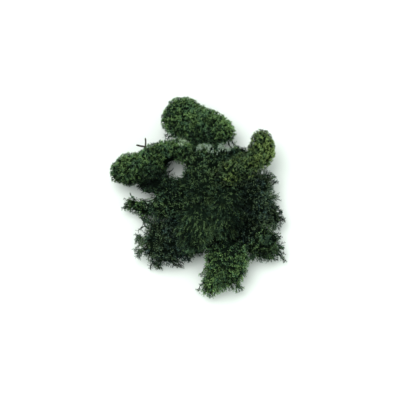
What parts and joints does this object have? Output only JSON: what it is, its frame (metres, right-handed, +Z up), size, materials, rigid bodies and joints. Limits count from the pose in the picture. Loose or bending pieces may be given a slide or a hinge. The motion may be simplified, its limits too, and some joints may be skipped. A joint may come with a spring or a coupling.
{
  "type": "preserved reindeer moss clump",
  "caption": "Loose clump of dyed, preserved reindeer moss lying flat: rounded cushion heads and open forked tufts of one branching lichen, hooked into each other.",
  "frame": {"origin": "a point of the flat spot that the heart of the clump rests on, under the clump's weight", "axes": "+Z up from the surface that it lies on, +Y along the clump's longest extent towards the cushion at the top of the picture, +X towards the picture's right"},
  "size_m": [0.1269, 0.1419, 0.0399],
  "materials": {
    "head_top": "matte dyed moss, mid green with lighter tips",
    "head_left": "matte dyed moss, mid green with lighter tips",
    "head_right": "matte dyed moss, yellowish green",
    "tuft_centre": "matte dyed moss, mid green with light streaks",
    "tuft_inner_right": "matte dyed moss, dark bluish green",
    "tuft_mid": "matte dyed moss, dark green",
    "tuft_back": "matte dyed moss, dark green",
    "tuft_inner_left": "matte dyed moss, dark green",
    "tuft_right": "matte dyed moss, dark green",
    "tuft_low_right": "matte dyed moss, dark green",
    "tuft_bottom": "matte dyed moss, mid green with lighter tips",
    "tuft_low_left": "matte dyed moss, dark green",
    "spray_left": "matte dyed moss, dark green",
    "tuft_heart": "matte dyed moss, blackish green in the shade of the clump"
  },
  "bodies": {
    "root": {"head_top": "head_top", "head_left": "head_left", "head_right": "head_right", "tuft_centre": "tuft_centre", "tuft_inner_right": "tuft_inner_right", "tuft_mid": "tuft_mid", "tuft_back": "tuft_back", "tuft_inner_left": "tuft_inner_left", "tuft_right": "tuft_right", "tuft_low_right": "tuft_low_right", "tuft_bottom": "tuft_bottom", "tuft_low_left": "tuft_low_left", "spray_left": "spray_left", "tuft_heart": "tuft_heart"}
  },
  "joints": []
}
